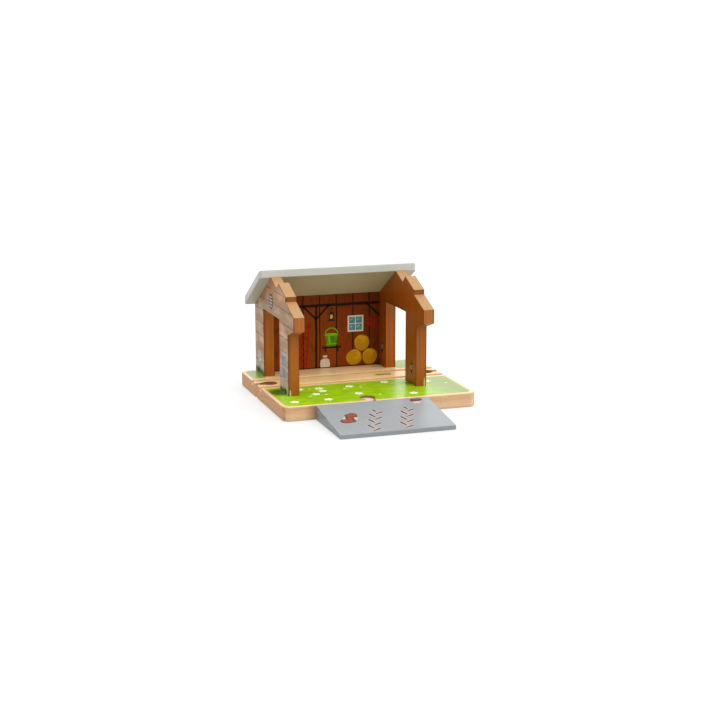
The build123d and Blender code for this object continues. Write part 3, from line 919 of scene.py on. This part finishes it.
class BARN_OT_bales(Operator):
    """Print three round straw bales on the inside of the back wall"""

    bl_idname = "barn.bales"
    bl_label = "Print the round bales"

    def execute(self, context):
        dice = random.Random(sizes().seed + 1)
        radius = drawn("bale") / 2
        step = radius * 2 + 0.3
        first_x, row_y = wall_right - 24.0, floor_line + radius + 0.6
        centres = [(first_x, row_y), (first_x + step, row_y), (first_x + step / 2, row_y + step * 0.86)]
        places = [(x, y, dice.uniform(0, 360), 1.0, 1.0) for x, y in centres]
        rounds = repeated(splash(0, 0, radius, radius * 0.98, dice, rough=0.015), 2, places)
        coils = []
        for share in (0.93, 0.7, 0.47, 0.24):
            start = dice.uniform(0, 360)
            coils += repeated(hoop(0, 0, radius * share, 0.55, start, start + 285), 3, places)
        stalks = [(x, y, dice.uniform(0, 360), 1.0, 1.0) for x, y in centres for _ in range(7)]
        coils += repeated(bar(radius * 0.98, 0, radius * 1.13, 0, 0.5), 2, stalks)
        lay("printed_bales", "wall_inside", "straw_ink", rounds)
        lay("printed_bale_coils", "wall_inside", "dark_straw_ink", coils)
        return {"FINISHED"}


class BARN_OT_bucket(Operator):
    """Print a green bucket on the shelf and a tied sack beneath it"""

    bl_idname = "barn.bucket"
    bl_label = "Print the bucket and the sack"

    def execute(self, context):
        x, base, rim = shelf_x, shelf_y + 0.9, drawn("bucket") / 2
        top, foot = base + rim * 1.75, rim * 0.72
        side = [(x - foot, base), (x + foot, base), (x + rim, top), (x - rim, top)]
        bands = [
            [(x - foot * 0.5, base + 1.2), (x - foot * 0.15, base + 1.2), (x - rim * 0.2, top - 1.6),
             (x - rim * 0.6, top - 1.6)],
            oval(x, top, rim * 1.05, rim * 0.2),
            bar(x - foot * 1.12, base + 2.2, x + foot * 1.12, base + 2.2, 0.7),
            hoop(x, top, rim * 0.98, 0.7, 12, 168),
        ]
        lay("printed_bucket", "wall_inside", "bucket_green_ink", [side], layer=2)
        lay("printed_bucket_bands", "wall_inside", "bucket_light_ink", bands, layer=3)
        self.sack(wall_left + 50.5)
        return {"FINISHED"}

    def sack(self, x):
        """A pale sack with a tied neck, drawn a little lopsided."""
        half, tall = 4.2, 10.2
        neck = tall * 0.88
        rim = ((-1.0, 0.8), (1.0, 0.8), (1.08, 4.0), (0.9, 7.4), (0.3, neck), (0.55, tall + 1.0),
               (-0.5, tall + 1.2), (-0.3, neck), (-0.95, 7.2), (-1.1, 3.8))
        cloth = [(x + half * across, floor_line + up) for across, up in rim]
        tie = bar(x - half * 0.45, floor_line + neck, x + half * 0.45, floor_line + neck, 0.9)
        lay("printed_sack", "wall_inside", "sack_ink", [cloth], layer=2)
        lay("printed_sack_tie", "wall_inside", "red_paint_ink", [tie], layer=3)


class BARN_OT_tools(Operator):
    """Print a lantern on the beam, a red ladder on the left and a coil of red rope on the right"""

    bl_idname = "barn.tools"
    bl_label = "Print the lantern, the ladder and the rope"

    def execute(self, context):
        self.lantern(shelf_x, beam_y - drawn("beam") / 2)
        self.ladder(wall_left + 30.0)
        self.rope(wall_right - 7.0, floor_line + 40.0)
        return {"FINISHED"}

    def lantern(self, x, hook):
        """A lantern that hangs from the beam by a ring."""
        top = hook - 4.6
        cage = [
            bar(x, hook, x, top + 2.4, 0.6),
            hoop(x, top + 1.4, 1.5, 0.6, -60, 240),
            [(x - 2.6, top - 1.6), (x + 2.6, top - 1.6), (x + 0.9, top), (x - 0.9, top)],
            panel(x - 2.2, top - 7.4, x + 2.2, top - 1.8),
            panel(x - 2.9, top - 8.8, x + 2.9, top - 7.5),
        ]
        lay("printed_lantern", "wall_inside", "iron_ink", cage, layer=2)
        lay("printed_lantern_glow", "wall_inside", "lamp_glow_ink", [oval(x, top - 4.6, 1.3, 2.0)], layer=3)

    def ladder(self, x):
        """A ladder that leans on the wall beside the post."""
        foot, half, tall, lean = floor_line + 0.9, 3.3, 41.0, 3.4
        top = foot + tall
        rails = [bar(x + side * half, foot, x + side * half * 0.8 + lean, top, 1.3) for side in (-1, 1)]
        heights = [(i + 0.7) / 7.4 for i in range(7)]
        rungs = [(x + lean * up, foot + tall * up, 0.0, 1 - 0.2 * up, 1.0) for up in heights]
        rungs = repeated(bar(-half, 0, half, 0, 1.0), 2, rungs)
        lay("printed_ladder", "wall_inside", "red_paint_ink", rails + rungs, layer=2)

    def rope(self, x, y):
        """A coil of rope that hangs from a peg."""
        loops = [hoop(x, y - drop, radius, 0.8, 0, 350, 28)
                 for radius, drop in ((4.4, 0.0), (3.2, 0.4), (2.0, 0.8))]
        tail = bar(x + 3.9, y - 2.0, x + 4.6, y - 8.5, 0.9)
        lay("printed_rope", "wall_inside", "red_paint_ink", [*loops, tail], layer=2)
        lay("printed_rope_peg", "wall_inside", "iron_ink", [oval(x, y + 3.6, 0.9)], layer=3)


class BARN_OT_outside(Operator):
    """Print vents, hatches, horseshoes and tying rings on the gables"""

    bl_idname = "barn.outside"
    bl_label = "Print the gables"

    def execute(self, context):
        for side, sign in (("left", -1), ("right", 1)):
            self.vent(side, sign * track_y / MM, barn_top / MM - 20.2)
            self.hatch(side, sign * front_leg_y, floor_line + 22)
            self.horseshoe(side, sign * rear_leg_y, floor_line + 15)
            self.ring(side, "_front", -sign * (front_leg_y - 3.0), floor_line + 14)
            self.ring(side, "_rear", -sign * (rear_leg_low + 9), floor_line + 17)
        return {"FINISHED"}

    def vent(self, side, x, y):
        """A round louvred vent under the ridge."""
        face, radius = side + "_outside", 6.4
        slats = []
        for k in (-0.6, -0.2, 0.2, 0.6):
            half = math.sqrt(1 - k * k) * (radius - 1.1)
            slats.append(bar(x - half, y + k * radius, x + half, y + k * radius, 1.3))
        lay("printed_vent_slats_" + side, face, "pale_frame_ink", slats, layer=3)
        lay("printed_vent_rim_" + side, face, "dark_timber_ink", [oval(x, y, radius)])
        lay("printed_vent_hole_" + side, face, "vent_shade_ink", [oval(x, y, radius - 0.7)], layer=2)

    def hatch(self, side, x, y):
        """A low boarded hatch in a pale frame, with a crossing brace."""
        face, half, tall = side + "_outside", 6.4, 10.5
        leaf_half, leaf_tall = half - 1.3, tall - 1.3
        outer = panel(x - half, y - tall, x + half, y + tall)
        leaf = panel(x - leaf_half, y - leaf_tall, x + leaf_half, y + leaf_tall)
        braces = [
            bar(x - leaf_half, y - leaf_tall, x + leaf_half, y + leaf_tall, 1.1),
            bar(x - leaf_half, y, x + leaf_half, y, 1.1),
        ]
        lay("printed_hatch_frame_" + side, face, "pale_frame_ink", [outer])
        lay("printed_hatch_leaf_" + side, face, "slate_blue_ink", [leaf], layer=2)
        lay("printed_hatch_brace_" + side, face, "pale_frame_ink", braces, layer=3)

    def horseshoe(self, side, x, y):
        """A pale horseshoe nailed to the rear leg."""
        shoe = [hoop(x, y, 3.2, 1.7, 160, 380)]
        shoe += [bar(x + end * 3.0, y + 0.8, x + end * 2.4, y + 5.2, 1.7) for end in (-1, 1)]
        lay("printed_horseshoe_" + side, side + "_outside", "bright_iron_ink", shoe)

    def ring(self, side, leg, x, y):
        """A pale tying ring on a long iron plate, on the inside of a leg."""
        place, face = side + leg, side + "_inside"
        lay("printed_ring_plate_" + place, face, "iron_ink", [oval(x, y, 2.2, 5.2)])
        lay("printed_ring_" + place, face, "pale_iron_ink", [hoop(x, y + 0.4, 1.4, 1.0, 0, 350)], layer=2)


class BARN_OT_meadow(Operator):
    """Print flowers on the plinth and grass tufts at the feet of the outside walls"""

    bl_idname = "barn.meadow"
    bl_label = "Print the meadow"

    def execute(self, context):
        dice = random.Random(sizes().seed + 2)
        self.flowers(dice)
        self.sprig(24.0, track_y / MM + 1.5)
        for side, sign in (("left", -1), ("right", 1)):
            spans = [(front_leg_low, front_leg_high), (rear_leg_low, rear_leg_high)]
            spans = [sorted((sign * a, sign * b)) for a, b in spans]
            self.tufts(side + "_outside", "gable_" + side, spans, dice)
        self.tufts("wall_outside", "wall", [(-wall_right, -wall_left)], dice)
        edges = ((left_low.x / MM + 1.7, 0.8), (right_high.x / MM - 1.7, 1.1))
        blades = [(x, floor_line, 0.0, 1.2, tall) for x, tall in edges]
        lay("printed_blades_front", "legs_front", "pale_blade_ink", repeated(blade(), 1, blades))
        return {"FINISHED"}

    def tufts(self, face, name, spans, dice):
        """Tufts in a dark and a light green along each span of a wall's foot."""
        dark, light = [], []
        for start, end in spans:
            x = start + 4.2
            while x < end - 4.0:
                dark += tuft(x, floor_line, dice)
                light += tuft(x + dice.uniform(-0.6, 0.6), floor_line, dice, spread=3.4, blades=4, share=0.6)
                x += dice.uniform(3.2, 5.0)
        lay("printed_tufts_dark_" + name, face, "grass_dark_ink", repeated(blade(), 1, dark))
        lay("printed_tufts_light_" + name, face, "grass_light_ink", repeated(blade(), 2, light))

    def sprig(self, x, y):
        """A stalk with narrow leaves, printed on the bare wood between the wheel grooves."""
        leaves = [(x + 3.0 * i, y, side * (24 + 4 * i), 1.0, 1.0) for i in range(5) for side in (-1, 1)]
        parts = repeated([(0, 0), (2.2, 0.75), (5.4, 0), (2.2, -0.75)], 1, leaves)
        lay("printed_sprig", "plinth_top", "olive_leaf_ink", [*parts, bar(x - 2.0, y, x + 15.0, y, 0.6)])

    def flowers(self, dice):
        """Large white flowers and small pale ones, scattered over the lawn."""
        radius = drawn("flower") / 2
        large, small = [], []
        for x, y, share in self.places(dice):
            kind = large if share > 0.6 else small
            kind.append((x, y, dice.uniform(0, 360), radius * share, radius * share))
        hearts = [(x, y, 0.0, reach, reach) for x, y, _, reach, _ in large]
        lay("printed_white_flowers", "plinth_top", "white_petal_ink", repeated(petals(), 1, large))
        lay("printed_cream_flowers", "plinth_top", "cream_petal_ink", repeated(petals(), 1, small))
        hearts = repeated(oval(0, 0, 0.22, count=12), 2, hearts)
        lay("printed_flower_hearts", "plinth_top", "yellow_heart_ink", hearts)

    def places(self, dice):
        """Scattered places and sizes on the printed grass, clear of the legs, the socket and each other."""
        room = drawn("print_border") + 4
        low_x, high_x = plinth_low.x / MM + room, plinth_high.x / MM - room
        low_y, high_y = plinth_low.y / MM + room, (track_y - half_track) / MM - 4
        legs = [(left_low.x / MM, left_high.x / MM), (right_low.x / MM, right_high.x / MM)]
        found = []
        for _ in range(6000):
            if len(found) >= sizes().flowers:
                break
            x, y = dice.uniform(low_x, high_x), dice.uniform(low_y, high_y)
            share = 1.0 if len(found) % 2 == 0 else dice.uniform(0.28, 0.42)
            on_leg = any(a - 5 < x < b + 5 for a, b in legs) and y > -40
            on_socket = abs(x - barn_x / MM) < 12 and y < -46
            crowded = any(math.hypot(x - a, y - b) < 4.5 * (share + s) for a, b, s in found)
            if not (on_leg or on_socket or crowded):
                found.append((x, y, share))
        return found


class BARN_OT_ramp_marks(Operator):
    """Print two tyre marks and two splashes of mud on the ramp"""

    bl_idname = "barn.ramp_marks"
    bl_label = "Print the ramp"

    def execute(self, context):
        self.tyre_marks(((-13.6, 40.2), (13.2, 40.8)))
        self.mud(random.Random(sizes().seed + 3))
        return {"FINISHED"}

    def mud(self, dice):
        """Puddles with a dark rim, and pale dried drops beside them."""
        wet = ((-35.4, 36.4, 4.9, 5.0, 0.9), (-41.4, 25.8, 5.9, 4.3, 0.9),
               (-38.2, 31.0, 3.1, 4.0, 0.9), (26.6, 58.2, 4.9, 3.2, 1.6))
        dried = ((-42.0, 31.4, 1.6, 2.6), (-33.6, 30.2, 1.6, 2.6), (25.9, 53.3, 3.2, 2.1))
        rims, puddles = [], []
        for x, y, rx, ry, rim in wet:
            outline = splash(x, y, rx, ry, dice, rough=0.1)
            across, up = 1 - rim / rx, 1 - rim / ry
            rims.append(outline)
            puddles.append([(x + (px - x) * across, y + (py - y) * up) for px, py in outline])
        drops = [splash(*drop, dice, rough=0.08) for drop in dried]
        lay("printed_mud_rim", "ramp_top", "dark_mud_ink", rims, layer=2)
        lay("printed_mud", "ramp_top", "mud_ink", puddles, layer=3)
        lay("printed_mud_drops", "ramp_top", "mud_smear_ink", drops)

    def tyre_marks(self, columns):
        """Slanting bars left and right of each line, half a pitch apart, each with a smear beside it."""
        tread, pitch, heading, slant = drawn("tread"), drawn("tread_pitch"), -21.0, 48.0
        mark = [(0, -0.5), (tread, -0.85), (tread, 0.85), (0, 0.5)]
        smear = [(-0.5, -1.7), (tread * 0.95, -2.0), (tread * 1.1, 1.9), (0, 1.6)]
        places = []
        for first_x, first_y in columns:
            for row in range(4):
                for side, drop, across in ((1, 5.0, 1.0), (-1, -0.3, 1.2)):
                    (x, y), = turned([(0, -pitch * row - drop)], heading, first_x, first_y)
                    angle = heading + (slant if side > 0 else 180 - slant)
                    places.append((x, y, angle, 0.55 if side < 0 and row == 0 else 1.0, across))
        lay("printed_tyre_marks", "ramp_top", "tyre_mark_ink", repeated(mark, 2, places))
        lay("printed_tyre_smears", "ramp_top", "tyre_smear_ink", repeated(smear, 1, places))


class BARN_OT_stage(Operator):
    """Set the pale floor, the soft studio light and the camera"""

    bl_idname = "barn.stage"
    bl_label = "Set the stage"

    def execute(self, context):
        self.floor()
        self.studio(context.scene)
        self.softbox(context.scene, "softbox_right", (0.75, -0.30, 0.59), 0.29)
        self.softbox(context.scene, "softbox_front", (0.11, -0.63, 0.77), 0.29)
        self.softbox(context.scene, "softbox_above", (0.00, -0.17, 0.98), 0.26)
        lens = bpy.data.cameras.new("camera")
        lens.lens = 75.33
        lens.sensor_width = 36
        lens.clip_start, lens.clip_end = 0.05, 20
        camera = bpy.data.objects.new("camera", lens)
        camera.location = (-0.3932, -1.1865, 0.3025)
        camera.rotation_euler = (math.radians(90 - 12.278), 0, math.radians(-18.538))
        context.scene.collection.objects.link(camera)
        context.scene.camera = camera
        context.scene.view_settings.view_transform = "Standard"
        return {"FINISHED"}

    def studio(self, scene):
        """A white room that is brightest behind the barn. Its walls are plain white to the camera."""
        world = bpy.data.worlds.new("white_studio")
        world.use_nodes = True
        tree = world.node_tree
        tree.nodes.clear()
        depth = coordinate(tree, Y, "Generated")
        room = add(tree, "Background", WHITE, add(tree, "MapRange", depth, -0.7, 0.95, 0.42, 1.4, **SMOOTH))
        backdrop = add(tree, "Background", WHITE, 1.05)
        seen = add(tree, "LightPath").outputs["Is Camera Ray"]
        add(tree, "OutputWorld", add(tree, "MixShader", seen, room, backdrop))
        scene.world = world

    def softbox(self, scene, name, towards, share):
        """A broad far lamp. Square to it, a white sheet gets that share of the light of a white room."""
        lamp = bpy.data.lights.new(name, "SUN")
        lamp.angle = math.radians(36)
        lamp.energy = math.pi * share
        softbox = bpy.data.objects.new(name, lamp)
        softbox.rotation_euler = (-Vector(towards)).to_track_quat("-Z", "Y").to_euler()
        scene.collection.objects.link(softbox)

    def floor(self):
        """A round white table top, a little luminous so that it stays white."""
        bpy.ops.object.select_all(action="DESELECT")
        bpy.ops.mesh.primitive_circle_add(vertices=96, radius=8, fill_type="NGON", location=(0, 0, -0.0002))
        floor = bpy.context.object
        floor.name = "floor"
        material, tree = blank("white_table")
        grain = streaks(tree, X, 40.0, 60.0, detail=1.0)
        shade = layered(tree, (0.34, 0.34, 0.34, 1), ((0.36, 0.36, 0.36, 1), grain))
        seen = add(tree, "LightPath").outputs["Is Camera Ray"]
        glow = add(tree, "MapRange", seen, 0.0, 1.0, 0.22, 0.53, **SMOOTH)
        surface(tree, shade, Roughness=0.7, Emission_Color=WHITE, Emission_Strength=glow)
        floor.data.materials.append(material)


class BARN_PT_panel(Panel):
    """Lists the steps and the values that can be changed"""

    bl_idname = "BARN_PT_panel"
    bl_label = "Toy railway barn"
    bl_space_type = "VIEW_3D"
    bl_region_type = "UI"
    bl_category = "Barn"

    def draw(self, context):
        for operator in OPERATORS:
            self.layout.operator(operator.bl_idname)
        for group in (context.scene.barn_sizes, context.scene.barn_colours):
            box = self.layout.box()
            for name in group.bl_rna.properties.keys():
                if name not in ("rna_type", "name"):
                    box.prop(group, name)


OPERATORS = (
    BARN_OT_wood, BARN_OT_paint, BARN_OT_fixings, BARN_OT_timbers, BARN_OT_window, BARN_OT_bales,
    BARN_OT_bucket, BARN_OT_tools, BARN_OT_outside, BARN_OT_meadow, BARN_OT_ramp_marks, BARN_OT_stage,
)
CLASSES = (BarnSizes, BarnColours, *OPERATORS, BARN_PT_panel)


def register():
    for item in CLASSES:
        bpy.utils.register_class(item)
    bpy.types.Scene.barn_sizes = PointerProperty(type=BarnSizes)
    bpy.types.Scene.barn_colours = PointerProperty(type=BarnColours)


def unregister():
    del bpy.types.Scene.barn_colours
    del bpy.types.Scene.barn_sizes
    for item in reversed(CLASSES):
        bpy.utils.unregister_class(item)


def main():
    register()
    bpy.ops.barn.wood()
    bpy.ops.barn.paint()
    bpy.ops.barn.fixings()
    bpy.ops.barn.timbers()
    bpy.ops.barn.window()
    bpy.ops.barn.bales()
    bpy.ops.barn.bucket()
    bpy.ops.barn.tools()
    bpy.ops.barn.outside()
    bpy.ops.barn.meadow()
    bpy.ops.barn.ramp_marks()
    bpy.ops.barn.stage()


if __name__ == "__main__":
    main()
